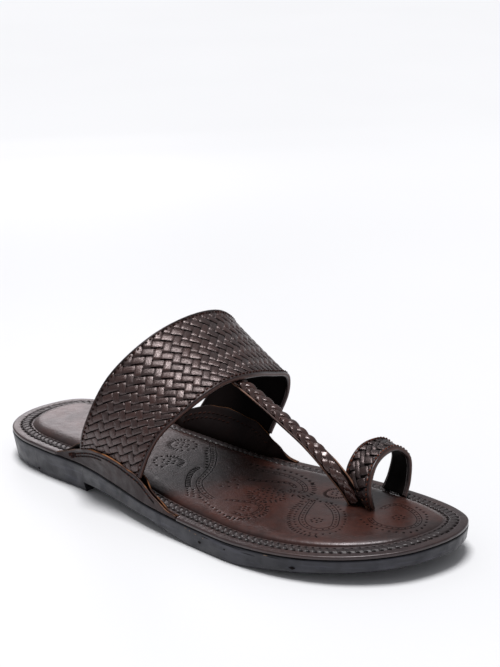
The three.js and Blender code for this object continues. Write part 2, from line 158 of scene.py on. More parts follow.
def circle(count):
    """Points round a circle of radius 1."""
    turn = np.arange(count) * 2 * math.pi / count
    return np.stack([np.cos(turn), np.sin(turn)], 1)


def run_along(points):
    """Length along a line, at each of its points."""
    return np.concatenate([[0], np.cumsum(np.linalg.norm(np.diff(points, axis=0), axis=1))])


def read_at(at, run, points):
    """Points of a line read at other lengths, where run is the length at each of its points."""
    return np.stack([np.interp(at, run, column) for column in points.T], -1)


def unit(v):
    return v / np.maximum(np.linalg.norm(v, axis=-1, keepdims=True), 1e-12)


def smooth(x, a, b):
    t = np.clip((np.asarray(x, float) - a) / (b - a), 0, 1)
    return t * t * (3 - 2 * t)


def outline_sides():
    points = catmull([(x, y, 0) for x, y in OUTLINE], np.arange(1040) / 1040, True)
    heel = points[:, 0].argmin()
    turned = np.vstack([points[heel:], points[:heel + 1]])
    toe = turned[:, 0].argmax()
    return {LATERAL: turned[:toe + 1], MEDIAL: turned[toe:][::-1]}


SIDES = outline_sides()
OUTSOLE_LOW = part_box("outsole")[0]
# the shoe frame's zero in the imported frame, in metres
ZERO = np.array([OUTSOLE_LOW.x, OUTSOLE_LOW.y - SIDES[LATERAL][:, 1].min() / 1000, 0.0])


def place(points):
    return np.asarray(points, float) / 1000 + ZERO


def side_at(side, x):
    """The outline at x, and its direction from heel to toe."""
    run = SIDES[side]
    x = np.atleast_1d(np.asarray(x, float))
    i = np.clip(np.searchsorted(run[:, 0], x, side="left") - 1, 0, len(run) - 2)
    t = np.clip((x - run[i, 0]) / (run[i + 1, 0] - run[i, 0]), 0, 1)[:, None]
    return run[i] * (1 - t) + run[i + 1] * t, unit(run[i + 1] - run[i])


def inset_point(side, x, inset):
    point, d = side_at(side, x)
    inward = np.stack([d[:, 1], -d[:, 0], 0 * d[:, 0]], 1) * side
    return point + inward * np.atleast_1d(inset)[:, None]


def rim_height(x):
    return value_at(PROFILE, 1, x)


def ear_thickness(ear, x):
    """Both plies of an ear and the gap between them, which opens for the strap's end."""
    rear, front = ear["rear"], ear["front"]
    opening = smooth(x, rear - EAR_TAPER, rear - 1) * (1 - smooth(x, front + 1, front + EAR_TAPER))
    return 2 * EAR_PLY + EAR_GAP + opening * (STRAP_SKIVED + EAR_OPEN_GAP - EAR_GAP)


def flare(h):
    """Outward reach of a sheet that leans by 1 above its bend, at a height h."""
    h = np.asarray(h, float)
    return np.where(h <= 0, 0, np.where(h < EAR_BEND, h ** 2 / (2 * EAR_BEND), h - EAR_BEND / 2))


def ear_point(ear, x, height, offset):
    """Middle sheet of an ear at x and height, moved along the sheet's normal by offset."""
    x, height, offset = np.broadcast_arrays(np.atleast_1d(np.asarray(x, float)), height, offset)
    lean = value_at(ear["rows"], 2, x)
    slope = lean * np.clip(height / EAR_BEND, 0, 1)
    length = np.hypot(1, slope)
    y = side_at(ear["side"], x)[0][:, 1]
    out = lean * flare(height) - ear_thickness(ear, x) / 2 + offset / length
    return np.stack([x, y + ear["side"] * out, rim_height(x) + height - offset * slope / length], 1)


# ------------ meshes


def put(name, data):
    """Adds an object to the scene."""
    piece = bpy.data.objects.new(name, data)
    bpy.context.scene.collection.objects.link(piece)
    return piece


def face_outward(mesh):
    """Turns the faces of closed shells outward."""
    shells = bmesh.new()
    shells.from_mesh(mesh)
    bmesh.ops.recalc_face_normals(shells, faces=shells.faces)
    shells.to_mesh(mesh)
    shells.free()


class Batch:
    """Collects grids of points into one mesh, with a mark and a grain coordinate for each point."""

    def __init__(self):
        self.points, self.faces, self.marks, self.grains = [], [], [], []
        self.count = 0

    def add(self, points, mark, grain):
        """Adds points of any grid shape; gives their indices in that shape."""
        shape = points.shape[:-1]
        self.points.append(points.reshape(-1, 3))
        self.marks.append(np.broadcast_to(mark, shape).reshape(-1))
        self.grains.append(np.broadcast_to(grain, shape + (3,)).reshape(-1, 3))
        index = np.arange(math.prod(shape)).reshape(shape) + self.count
        self.count += index.size
        return index

    def grid(self, points, mark=0.0, grain=0.0, wrap=False):
        index = self.add(points, mark, grain)
        if wrap:
            index = np.hstack([index, index[:, :1]])
        quads = np.stack([index[:-1, :-1], index[1:, :-1], index[1:, 1:], index[:-1, 1:]], -1)
        self.faces.extend(quads.reshape(-1, 4).tolist())
        return index

    def shell(self, points, mark=0.0, grain=0.0):
        """A closed shell from a row of loops."""
        index = self.grid(points, mark, grain, wrap=True)
        self.faces.append(index[0, :-1].tolist())
        self.faces.append(index[-1, :-1][::-1].tolist())

    def polygon(self, loop):
        self.faces.append(self.add(loop, 0.0, 0.0).tolist())

    def make(self, name, material, slot, closed=True):
        """Makes the piece; a closed one has its faces turned outward."""
        mesh = bpy.data.meshes.new(name)
        mesh.from_pydata(place(np.vstack(self.points)).tolist(), [], self.faces)
        if closed:
            face_outward(mesh)
        mesh.polygons.foreach_set("use_smooth", np.ones(len(mesh.polygons), bool))
        mark = mesh.attributes.new("mark", "FLOAT", "POINT")
        mark.data.foreach_set("value", np.concatenate(self.marks).astype(np.float32))
        grain = mesh.attributes.new("grain", "FLOAT_VECTOR", "POINT")
        grain.data.foreach_set("vector", np.vstack(self.grains).astype(np.float32).ravel())
        mesh.materials.append(material)
        mesh.update()
        piece = put(name, mesh)
        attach(piece, "root")
        return piece


def woven_shell(name, points, material):
    """A piece of one closed shell that belongs to the strap, the ring or the thong."""
    batch = Batch()
    batch.shell(points)
    return batch.make(name, material, "woven_leather")


def tube(path, across, out, width, height, sides, power=1.0):
    """Loops of a section along a path, oval at power 1 and squarer below it; across and out are its axes."""
    angle = 2 * math.pi * np.arange(sides) / sides
    c, s = np.cos(angle), np.sin(angle)
    c, s = np.sign(c) * np.abs(c) ** power, np.sign(s) * np.abs(s) ** power
    w = np.atleast_1d(width)[:, None, None] / 2
    h = np.atleast_1d(height)[:, None, None] / 2
    return path[:, None] + across[:, None] * c[None, :, None] * w + out[:, None] * s[None, :, None] * h


# stations along half a stitch, and the rise and thickness of its thread there
STITCH_STATIONS = np.array([-1, -0.7, 0, 0.7, 1])
STITCH_RISE = np.array([-1, 0, 0.25, 0, -1])
STITCH_SWELL = np.array([0.35, 0.9, 1, 0.9, 0.35])


def stitches(batch, points, normals, pitch, length, width, height, sink=0.0, slant=0.0):
    """Short capsules of thread along a line of surface points."""
    run = run_along(points)
    steps = np.arange(len(run))
    for k in range(int(run[-1] // pitch)):
        at = np.interp((k + 0.5) * pitch + STITCH_STATIONS * length / 2, run, steps)
        path = read_at(at, steps, points)
        normal = unit(read_at(at, steps, normals))
        across = unit(np.cross(normal, unit(path[-1] - path[0])))
        path = path + across * (STITCH_STATIONS[:, None] * slant)
        path = path + normal * ((STITCH_RISE * height)[:, None] - sink)
        batch.shell(tube(path, across, normal, width * STITCH_SWELL, height * STITCH_SWELL, 8))


# ------------ materials


def srgb(r, g, b):
    def linear(c):
        c /= 255
        return c / 12.92 if c <= 0.04045 else ((c + 0.055) / 1.055) ** 2.4
    return (linear(r), linear(g), linear(b), 1)


class Shader:
    """A material's node tree with short calls for the few nodes that these finishes use."""

    def __init__(self, name, roughness, specular, coat=0.0, coat_roughness=0.3, tint=(1, 0.88, 0.92)):
        self.material = bpy.data.materials.new(name)
        self.material.use_nodes = True
        self.nodes = self.material.node_tree.nodes
        self.links = self.material.node_tree.links
        self.bsdf = self.nodes["Principled BSDF"]
        self.where = self.nodes.new("ShaderNodeTexCoord").outputs["Object"]
        self.feed(self.bsdf, {"Roughness": roughness, "Specular IOR Level": specular, "Coat Weight": coat,
                              "Coat Roughness": coat_roughness, "Specular Tint": (*tint, 1)})

    def feed(self, node, inputs):
        """Gives each named socket its value, or links it to another node's output."""
        for socket, value in inputs.items():
            if isinstance(value, bpy.types.NodeSocket):
                self.links.new(value, node.inputs[socket])
            else:
                node.inputs[socket].default_value = value

    def node(self, kind, inputs):
        node = self.nodes.new("ShaderNode" + kind)
        self.feed(node, inputs)
        return node

    def attribute(self, name, output):
        node = self.node("Attribute", {})
        node.attribute_name = name
        return node.outputs[output]

    def noise(self, scale, detail, vector=None, stretch=None, roughness=0.5):
        vector = self.where if vector is None else vector
        if stretch:
            vector = self.node("Mapping", {"Vector": vector, "Scale": stretch}).outputs["Vector"]
        inputs = {"Vector": vector, "Scale": scale, "Detail": detail, "Roughness": roughness}
        return self.node("TexNoise", inputs).outputs["Fac"]

    def ramp(self, value, low, high, to_low=0.0, to_high=1.0):
        inputs = {"Value": value, "From Min": low, "From Max": high, "To Min": to_low, "To Max": to_high}
        node = self.node("MapRange", inputs)
        node.interpolation_type = "SMOOTHSTEP"
        return node.outputs["Result"]

    def patches(self, scale, detail, *limits):
        """Noise with its contrast raised by a ramp."""
        return self.ramp(self.noise(scale, detail), *limits)

    def math(self, operation, a, b):
        node = self.node("Math", {0: a, 1: b})
        node.operation = operation
        return node.outputs[0]

    def vector_math(self, operation, a, b):
        node = self.node("VectorMath", {0: a, 1: b})
        node.operation = operation
        return node.outputs["Value"]

    def mix(self, fac, a, b):
        node = self.node("Mix", {0: fac, 6: a, 7: b})
        node.data_type = "RGBA"
        return node.outputs[2]

    def colour(self, value):
        self.feed(self.bsdf, {"Base Color": value})

    def roughness(self, value):
        self.feed(self.bsdf, {"Roughness": value})

    def bump(self, *layers):
        """Each layer is (height, distance in metres)."""
        below = {}
        for height, distance in layers:
            node = self.node("Bump", {"Strength": 1, "Distance": distance, "Height": height, **below})
            below = {"Normal": node.outputs["Normal"]}
        self.feed(self.bsdf, {"Normal": node.outputs["Normal"], "Coat Normal": node.outputs["Normal"]})

    def marked(self, colour, mark_colour):
        """Colours the surface, pulled to another colour where the mark attribute is 1."""
        self.colour(self.mix(self.attribute("mark", "Fac"), colour, mark_colour))

    def leather_colour(self, cloud, base, warm):
        """Cloudy colour between base and warm, with fine darker mottling."""
        mottle = self.patches(420, 3, 0.35, 0.75, 0.0, 0.4)
        return self.mix(mottle, self.mix(cloud, base, warm), DARK)


DARK = srgb(13, 9, 9)


def smooth_leather(name, base, warm, roughness, coat, specular=0.45, mark_colour=DARK):
    """Polished leather: cloudy colour, fine pores, and marks in another colour, partly painted shade."""
    s = Shader(name, roughness, specular, coat, 0.28)
    mark = s.attribute("mark", "Fac")
    s.colour(s.mix(mark, s.leather_colour(s.patches(30, 4, 0.4, 0.66), base, warm), mark_colour))
    gloss = s.patches(160, 4, 0.3, 0.7, roughness - 0.03, roughness + 0.05)
    s.roughness(s.math("MAXIMUM", gloss, s.math("MULTIPLY", mark, 0.85)))
    s.bump((s.noise(1500, 2), 0.00006), (s.noise(260, 3), 0.000132))
    return s.material


def raw_edge_leather(name, base, warm, specular):
    """Leather whose cut edges, where mark is 1, show patchy tan fibre."""
    s = Shader(name, 0.45, specular)
    colour = s.leather_colour(s.patches(45, 4, 0.38, 0.68), base, warm)
    edge = s.mix(s.patches(75, 3, 0.42, 0.6), srgb(52, 34, 27), srgb(150, 98, 58))
    s.marked(colour, edge)
    s.roughness(s.patches(160, 4, 0.3, 0.7, 0.36, 0.55))
    s.bump((s.noise(1500, 2), 0.00006), (s.noise(260, 3), 0.00014))
    return s.material


def strip_leather(name, base, warm, roughness, coat):
    """Leather strips: streaks along each strip, and a tint of its own for each one."""
    s = Shader(name, roughness, 0.9, coat, 0.2, (1, 0.8, 0.79))
    grain = s.attribute("grain", "Vector")
    streak = s.noise(1, 3, grain, (0.35, 2.6, 1))
    fibre = s.noise(1, 2, grain, (0.9, 7.5, 1))
    tint = s.noise(1, 0, grain, (0, 0, 1))
    colour = s.mix(s.ramp(tint, 0.35, 0.65), base, warm)
    colour = s.mix(s.ramp(streak, 0.42, 0.7, 0, 0.6), colour, DARK)
    # The mark colour is painted shade where floats dip under their neighbours and along their edges.
    s.marked(colour, srgb(10, 7, 7))
    s.roughness(s.ramp(streak, 0.3, 0.7, roughness - 0.06, roughness + 0.14))
    s.bump((fibre, 0.00008), (streak, 0.0001))
    return s.material


def rubber_material():
    s = Shader("charcoal_rubber", 0.5, 0.5, 0.12, 0.3, (0.92, 0.92, 1))
    cloud = s.ramp(s.noise(55, 5, roughness=0.62), 0.36, 0.7)
    scuff = s.ramp(s.noise(1, 4, stretch=(60, 60, 520)), 0.5, 0.78, 0, 0.5)
    colour = s.mix(cloud, srgb(15, 15, 19), srgb(33, 33, 41))
    colour = s.mix(scuff, colour, srgb(66, 66, 78))
    # The mark colour is painted shade: under the sole's edge and in the seam below the insole.
    s.marked(colour, srgb(8, 8, 9))
    s.roughness(s.patches(140, 5, 0.3, 0.7, 0.3, 0.6))
    s.bump((s.noise(1100, 3), 0.00005), (s.noise(90, 4), 0.00018))
    return s.material


def plain_material(name, base, other, roughness, scale, bump):
    s = Shader(name, roughness, 0.12)
    s.colour(s.mix(s.patches(scale, 3, 0.35, 0.7), base, other))
    s.bump((s.noise(scale * 2.5, 2), bump))
    return s.material


LEATHER_RIM = smooth_leather("rim_leather", srgb(46, 33, 33), srgb(60, 40, 36), 0.36, 0.45)
LEATHER_PAD = smooth_leather("footbed_leather", srgb(44, 31, 29), srgb(68, 36, 28), 0.32, 0.3)
LEATHER_EAR = raw_edge_leather("ear_leather", srgb(30, 20, 20), srgb(44, 27, 24), 0.32)
# Near black and nearly unreflecting: painted shade on the linings of the strap and the ring and on the
# thong's backing.
LEATHER_UNDERSIDE_SHADE = smooth_leather("underside_shade_leather", srgb(11, 8, 8), srgb(16, 11, 10), 0.7, 0, specular=0.03)
LEATHER_BINDING = smooth_leather("binding_leather", srgb(30, 20, 19), srgb(46, 28, 24), 0.36, 0.15,
                                 mark_colour=srgb(84, 56, 47))
LEATHER_EDGE = smooth_leather("strip_edge", srgb(70, 46, 37), srgb(138, 98, 76), 0.45, 0.1)
STRIPS = strip_leather("woven_strips", srgb(36, 20, 17), srgb(52, 27, 21), 0.29, 0.2)
# A darker copy of the woven strips without coat: painted shade on the toe ring.
RING_STRIPS_SHADED = strip_leather("ring_strips_shaded", srgb(20, 11, 10), srgb(32, 18, 15), 0.3, 0.0)
BRAID = strip_leather("braid_strands", srgb(42, 24, 20), srgb(62, 34, 27), 0.25, 0.6)
RUBBER = rubber_material()
THREAD = plain_material("stitch_thread", srgb(26, 14, 11), srgb(66, 34, 25), 0.6, 300, 0.00008)
RING_THREAD = plain_material("ring_thread", srgb(58, 28, 21), srgb(112, 64, 48), 0.6, 300, 0.00008)
# A darker, duller copy of the ear leather: painted shade on the ears' inner plies.
LEATHER_EAR_INNER_SHADE = raw_edge_leather("ear_inner_shade", srgb(18, 11, 10), srgb(28, 16, 13), 0.1)
SCUFF = plain_material("scuffed_fleck", srgb(150, 126, 104), srgb(92, 80, 74), 0.7, 500, 0.00005)
# Near black and dull: painted shade in the footbed's tooled hollows and in the holes of the stitched channel.
TOOLING_SHADE = plain_material("tooled_hollow_shade", srgb(11, 8, 8), srgb(20, 13, 12), 0.8, 300, 0.00005)
# Near black: painted shade in the gaps of the weave, in the ears' recesses and along their stitching; on the
# rubber wall it is the real colour of nicks and scratches.
SHADE_AND_NICK_DARK = plain_material("shade_and_nick_dark", srgb(9, 6, 6), srgb(14, 9, 9), 0.8, 300, 0.0001)

# ------------ sole


def stations(count, steps):
    """x values from heel to toe, closer together at the tips, with both faces of each step."""
    even = LENGTH / 2 * (1 - np.cos(np.pi * np.arange(1, count + 1) / (count + 1)))
    for step in steps:
        even = even[np.abs(even - step) > 0.6]
    return np.sort(np.concatenate([even, [s + d for s in steps for d in (-0.05, 0.05)]]))


def sole_loop(xs, inset, height):
    """One loop round the sole; inset(side, x) moves it inwards and height(x) lifts it."""
    def run(side):
        points = inset_point(side, xs, inset(side, xs))
        points[:, 2] = height(xs)
        return points

    def tip(x, towards):
        y = SIDES[LATERAL][-1 if x else 0][1]
        ends = np.array([x], float)
        return [[x + towards * inset(LATERAL, ends)[0], y, height(ends)[0]]]
    return np.vstack([tip(0, 1), run(LATERAL), tip(LENGTH, -1), run(MEDIAL)[::-1]])


def sole_shell(name, loops, marks, material, slot):
    """A closed piece from loops round the sole, capped with quads from its lateral to its medial side."""
    batch = Batch()
    index = batch.grid(np.array(loops), marks, wrap=True)
    for loop in (index[0, :-1].tolist(), index[-1, :-1].tolist()):
        n = len(loop)
        for i in range(n // 2):
            quad = [loop[i], loop[i + 1], loop[(n - i - 1) % n], loop[(n - i) % n]]
            batch.faces.append([v for k, v in enumerate(quad) if v not in quad[:k]])
    return batch.make(name, material, slot)


def constant(value):
    return lambda side, x: np.full(len(x), float(value))


def rubber_sole():
    xs = stations(360, (HEEL_STEP_X, BREAST_X))
    rows = 7

    def under(x):
        return np.where(x > BREAST_X, value_at(PROFILE, 2, x), np.where(x < HEEL_STEP_X, HEEL_STEP, 0.0))

    def top(x):
        return rim_height(x) - INSOLE_THICK - 0.05

    def taper(side, x):
        return np.where(x < BREAST_X, HEEL_TAPER, EDGE_ROUND)

    loops = [sole_loop(xs, lambda side, x: taper(side, x) + SOLE_BEVEL, under),
             sole_loop(xs, lambda side, x: taper(side, x) + 0.15, lambda x: under(x) + 0.3),
             sole_loop(xs, taper, lambda x: under(x) + SOLE_BEVEL)]
    for k in range(1, rows + 1):
        left = 1 - k / rows
        loops.append(sole_loop(xs, lambda side, x: taper(side, x) * left,
                               lambda x: (under(x) + SOLE_BEVEL) * left + (top(x) - 0.9) * k / rows))
    for inset, drop in ((0.15, 0.55), (0.75, 0.25), (1.0, 0.0)):
        loops.append(sole_loop(xs, constant(inset), lambda x: top(x) - drop))
    # Painted shade: darker on the bevel under the sole's edge and on the top loops in the seam below the
    # insole.
    shade = [0.35, 0.35] + [0] * rows + [0, 0.2, 1, 1]
    marks = np.array(shade)[:, None]
    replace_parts(sole_shell("sole_rubber", loops, marks, RUBBER, "rubber"), "outsole")


# x, height up from the floor, length, height of the mark
NICKS = [(181.2, 4.6, 2.6, 1.3), (237.5, 6.0, 3.2, 1.2), (43, 2.6, 1.8, 1.2), (199, 6.4, 1.4, 0.7)]
SCRATCHES = [(204, 9.2, 17, 0.35), (214, 8.0, 9, 0.28), (240, 11.0, 12, 0.3), (186, 8.6, 6, 0.4),
             (228, 9.6, 8, 0.25)]
SPECKS = [(171.5, 9.4, 1.6, 0.5), (174.5, 8.8, 1.1, 0.7), (178.4, 8.2, 2.0, 0.5), (184, 7.6, 1.0, 0.4),
          (224, 9.9, 3, 0.3)]


def wall_marks(name, marks, material):
    """Small worn spots on the lateral wall of the rubber, just proud of it."""
    batch = Batch()
    for x, z, length, height in marks:
        at = np.linspace(x - length / 2, x + length / 2, 9)
        swell = np.sin(np.linspace(0.15, math.pi - 0.15, 9)) * (1 + 0.25 * np.sin(at * 3.1))
        wall_top = rim_height(at) - INSOLE_THICK - 1
        slope = np.where(at < BREAST_X, HEEL_TAPER, EDGE_ROUND) / wall_top
        lines = []
        for half in (-height / 2, height / 2):
            up = z + half * swell
            line = inset_point(LATERAL, at, slope * (wall_top - up) - 0.05)
            line[:, 2] = up
            lines.append(line)
        batch.grid(np.stack(lines, 1))
    batch.make(name, material, "rubber", closed=False)


def insole_notch(side, x):
    """How far the insole's edge steps in to make room for an ear."""
    ear = EARS[side]
    inside = (x > ear["rows"][0, 0] - 0.5) & (x < ear["rows"][-1, 0] + 0.5)
    return np.where(inside, ear_thickness(ear, x) + EAR_CLEARANCE, 0.0)


# the stitched channel's edges, inside the rim's edge, and the length of one turn of its lacing
CHANNEL_OUT, CHANNEL_IN = 5.0, 9.8
LACE_PITCH = 3.7


def lace_phase(run, across):
    """Turns of the lacing at a length along the channel; the lacing slants and is slightly uneven."""
    return (run + 1.5 * across + 0.5 * np.sin(run / 9.7) + 0.3 * np.sin(run / 4.1)) / LACE_PITCH


def lace_relief(run, inset):
    """Height and darkness of the stitched channel: slanted pads between two rows of holes."""
    middle, half = (CHANNEL_OUT + CHANNEL_IN) / 2, (CHANNEL_IN - CHANNEL_OUT) / 2
    across = (inset - middle) / half
    off = np.abs(across)
    wave = np.abs(np.cos(math.pi * lace_phase(run, across)))
    in_band = 1 - smooth(off, 0.78, 1.02)
    groove = np.exp(-((off - 1.0) * half / 0.55) ** 2)
    gap = 1 - smooth(wave, 0.12, 0.5)
    hole = np.exp(-((off - 0.98) * half / 0.62) ** 2) * (1 - smooth(wave, 0.1, 0.62))
    height = 0.42 * in_band * (1 - 0.85 * gap) * (1 - 0.3 * across ** 2) - 0.3 * groove - 1.0 * hole
    # Darkness: the lacing's own darker tone across the band, and painted shade in the gaps between pads, in
    # the groove and in the holes.
    dark = np.clip((0.6 + 0.4 * gap) * in_band + 1.5 * hole + 0.5 * groove, 0, 1)
    return height, dark


def lace_hole_shade(xs, run):
    """Painted shade: near-black patches in the holes where the lacing dips through the insole, round ones
    inside, dashes outside.
    """
    batch = Batch()
    for across, inset, long, wide in ((1.0, 9.85, 0.95, 0.72), (-1.0, 4.95, 1.1, 0.48)):
        phase = lace_phase(run, across)
        loop = sole_loop(xs, lambda side, x: np.maximum(inset, insole_notch(side, x) + 1.2), rim_height)
        along = unit(np.gradient(loop, axis=0))
        steps = np.arange(len(loop))
        for turn in np.arange(math.ceil(phase[0]) + 0.5, phase[-1] - 0.5):
            at = np.interp(turn, phase, steps)
            d = along[int(at)]
            axes = np.array([d * long, np.array([-d[1], d[0], 0]) * wide])
            batch.polygon(read_at(at, steps, loop) + circle(8) @ axes - (0, 0, 0.02))
    batch.make("channel_hole_shade", TOOLING_SHADE, "insole_leather", closed=False)


def insole_rim():
    count = 800
    ear_ends = [e["rows"][k, 0] + d for e in EARS.values() for k, d in ((0, -0.5), (-1, 0.5))]
    xs = stations(count, ear_ends)
    run = run_along(sole_loop(xs, constant(7.4), rim_height)[:, :2])
    lace_hole_shade(xs, run)
    edge = [(0.9, -2.05), (0.35, -1.95), (0.02, -1.6), (0.0, -0.75), (0.12, -0.35), (0.4, -0.1), (0.8, 0.0)]
    channel = (2.4, 3.7, 4.2, 4.5, 4.75, 5.0, 5.25, 5.5, 5.85, 6.3, 6.8, 7.4, 8.0, 8.5, 8.95, 9.3, 9.55, 9.8,
               10.05, 10.3, 10.6, 11.0, 12.5)
    loops, marks = [], []

    def add(inset, drop, height, mark):
        by_ear = min(inset, 0.8)
        loop = sole_loop(xs, lambda side, x: np.maximum(inset, insole_notch(side, x) + by_ear), rim_height)
        loop[:, 2] += drop + height
        loops.append(loop)
        marks.append(mark + 0 * run)

    for inset, drop in edge:
        # Painted shade on the insole edge's lowest loops, in the seam above the rubber; the edge face above
        # them is a little darker.
        add(inset, drop, 0, 0.9 if drop < -1.9 else 0.2 if drop < -0.7 else 0)
    for inset in channel:
        add(inset, 0, *lace_relief(run, inset))
    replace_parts(sole_shell("insole_rim", loops, np.array(marks), LEATHER_RIM, "insole_leather"), "insole")


# ------------ tooled footbed


def ring_dots(cx, cy, r, count, start=0.0, sweep=360.0):
    """Dots evenly round a circle, or round a part of it, in degrees."""
    steps = np.arange(count) / (count if sweep == 360 else max(count - 1, 1))
    a = np.radians(start + sweep * steps)
    return np.stack([cx + r * np.cos(a), cy + r * np.sin(a)], 1)


def line_dots(points, pitch, shift=0.0):
    """Dots at a pitch along a smooth line through points, moved sideways by shift."""
    fine = catmull([(x, y, 0) for x, y in points], np.linspace(0, 1, 400))[:, :2]
    d = unit(np.gradient(fine, axis=0))
    fine = fine + np.stack([-d[:, 1], d[:, 0]], 1) * shift
    run = run_along(fine)
    return read_at(np.arange(0, run[-1], pitch), run, fine)


TOOL_DEPTH = 0.13
# dots as (centres, radius), ticks and pieces of line as (x, y, x, y)
DOTS, TICKS, LINES = [], [], []


def dotted(points, pitch=3.4, size=0.6):
    DOTS.append((line_dots(points, pitch), size))


def rails(points, half):
    """Two tooled lines, half to each side of a line."""
    for shift in (half, -half):
        dots = line_dots(points, 1.0, shift)
        LINES.extend(np.hstack([dots[:-1], dots[1:]]).tolist())


def band(points, half=1.5):
    """A row of dots between two tooled lines."""
    rails(points, half)
    dotted(points, 3.1, 0.52)


def ticked(points, inner, outer, pitch=2.4):
    """Short ticks across a line, from inner to outer on its left side."""
    a, b = line_dots(points, pitch, inner), line_dots(points, pitch, outer)
    count = min(len(a), len(b))
    a, b = (dots[np.linspace(0, len(dots) - 1, count).astype(int)] for dots in (a, b))
    TICKS.extend(np.hstack([a, b]).tolist())


def ticked_round(cx, cy, inner, outer, degrees):
    """Ticks that point away from a centre."""
    for a in np.radians(degrees):
        c, s = math.cos(a), math.sin(a)
        TICKS.append((cx + inner * c, cy + inner * s, cx + outer * c, cy + outer * s))


def cluster(cx, cy, r, count=6, size=0.62):
    DOTS.append((ring_dots(cx, cy, r, count), size))
    DOTS.append((np.array([(cx, cy)]), size))


def rosette(cx, cy, r, ticks, tick, ticked_from=0, ticked_to=360):
    """A rim that is ticked over part of its turn and dotted over the rest, round a cluster of dots."""
    degrees = np.arange(0, 360, 360 / ticks)
    ticked_round(cx, cy, r - tick, r, degrees[(degrees >= ticked_from) & (degrees <= ticked_to)])
    rest = 360 - (ticked_to - ticked_from)
    if rest:
        DOTS.append((ring_dots(cx, cy, r - 0.8, int(rest / 24), ticked_to + 12, rest - 24), 0.7))
    cluster(cx, cy, 0.4 * r)


def chart_motifs():
    """The footbed's tooling: rosettes, paisleys and dotted bands."""
    for cx, cy, start in ((85, 0, 90), (89, -22, 90), (109, 1.5, 120)):
        rosette(cx, cy, 8.4, 26, 2.3, start, start + 180)
    rosette(119.5, -20, 8.4, 26, 2.3, -60, 150)
    rosette(209, 9, 7.2, 32, 1.8)
    # the waist band, which swings round into a paisley on the lateral side
    band([(117, 16), (125, 8), (132, 1), (140, -10), (144, -19), (147, -26), (152, -31), (159, -35),
          (166, -37)])
    dotted([(121, 8), (125, 3), (131, -3), (135, -7.5), (138, -11)], 3.6, 0.85)
    arc = [(135, -14), (137, -21), (142, -29), (148, -35.5)]
    rails(arc, 1.2)
    ticked(arc, -0.9, 0.9, 2.0)
    for k in range(3):
        x, y = 149 + 3 * k, -37 + 1.1 * k
        dotted([(x + d, y - d) for d in (0, 3, 6)], 2.7, 0.55)
    dotted([(161, -40), (168, -43), (175, -45), (182, -47), (188, -47.4), (193, -46), (196, -41), (197, -34),
            (192, -26), (186, -21)])
    ticked([(186, -48.4), (192, -47.6), (197, -42), (198.4, -34), (193, -25)], -0.6, 1.4)
    band([(172, -33), (177, -30), (183, -27), (190, -27.5), (193, -32), (193.5, -38), (191, -42),
          (184, -42.5)], 1.0)
    cluster(186, -35, 2.6)
    # the long paisley on the medial side
    dotted([(151, 9), (158, 11), (163, 13), (169, 15), (178, 15.5), (186, 13.5), (193, 10)], 3.8, 0.85)
    ticked([(190, 11.6), (197, 5), (199.5, 0), (198, -5), (193, -7)], -1.0, 1.4)
    band([(158, 6), (168, 9.4), (175, 10.6), (182, 9.6), (189, 6.6), (194, 1.4), (193, -3)], 1.2)
    band([(163, -6.5), (170, -2.6), (176, 1.4), (182, 3.8), (188, 1.6)], 0.9)
    cluster(189, -3, 1.7, 5, 0.5)
    loose = [(158, -16), (162, -20), (158.5, -11.5), (159, -22.5), (166, -18.5), (163.5, -15)]
    DOTS.append((np.array(loose), 0.6))
    # a rosette of three dotted rings
    for r, count in ((8.0, 17), (5.2, 11), (2.3, 5)):
        DOTS.append((ring_dots(183, -14, r, count), 0.6))
    ticked_round(183, -14, 8.8, 10.8, np.arange(200, 380, 15))
    # the large paisley of the forepart
    dotted([(206, -3), (204, -10), (207, -19), (213, -29), (222, -37), (230, -39.5), (237, -38), (241, -32),
            (239, -23), (233, -14), (226, -7)])
    ticked([(203, -10), (206, -20), (212, -30), (221, -38.4), (230, -41), (238, -39.4)], -2.2, -0.4)
    band([(206, -7), (211, -18), (218, -29), (226, -34), (233, -33.5), (236, -28), (232, -20), (224, -11),
          (213, -4)])
    cluster(224, -25, 2.7, 7)
    dotted([(200, -7), (208, -5), (216, -3), (226, -8)], 3.2, 0.65)
    # the paisley at the toe
    band([(243, -8), (250, -12), (259, -12.5), (265, -10), (267.5, -4), (265, 3), (258, 9.5), (250, 13.5),
          (243, 15), (240, 11), (240, 5)], 1.2)
    dotted([(241, -12), (250, -16), (260, -16.5), (269, -13), (271.5, -4), (268.5, 4), (262, 12),
            (252, 17)], 3.6, 0.7)
    cluster(254, 1, 2.8, 7)


def segment_distance(x, y, a, b, c, d):
    dx, dy = c - a, d - b
    t = np.clip(((x - a) * dx + (y - b) * dy) / max(dx * dx + dy * dy, 1e-9), 0, 1)
    return np.hypot(x - a - t * dx, y - b - t * dy)


def tooling(x, y):
    """Depth of the tooling at points of the footbed, from 0 to 1."""
    depth = np.zeros_like(x)

    def press(near, distance, width, amount):
        depth[near] = np.maximum(depth[near], amount * (1 - smooth(distance, 0.35 * width, width)))

    for dots, size in DOTS:
        for cx, cy in dots:
            near = (np.abs(x - cx) < 1.6) & (np.abs(y - cy) < 1.6)
            press(near, np.hypot(x[near] - cx, y[near] - cy), 1.9 * size, 1.0)
    for lines, width, amount in ((TICKS, 0.85, 0.9), (LINES, 0.7, 0.2)):
        for a, b, c, d in lines:
            near = (x > min(a, c) - 1) & (x < max(a, c) + 1) & (y > min(b, d) - 1) & (y < max(b, d) + 1)
            press(near, segment_distance(x[near], y[near], a, b, c, d), width, amount)
    return depth


def pad_rise(e):
    """Height of the footbed above the rim, at a distance e inside its edge."""
    t = np.clip(e / PAD_CROWN, 0, 1)
    return PAD_HEIGHT * np.sqrt(np.clip(1 - (1 - t) ** 2, 0, 1)) - 0.1 * (1 - smooth(e, 0, 1))


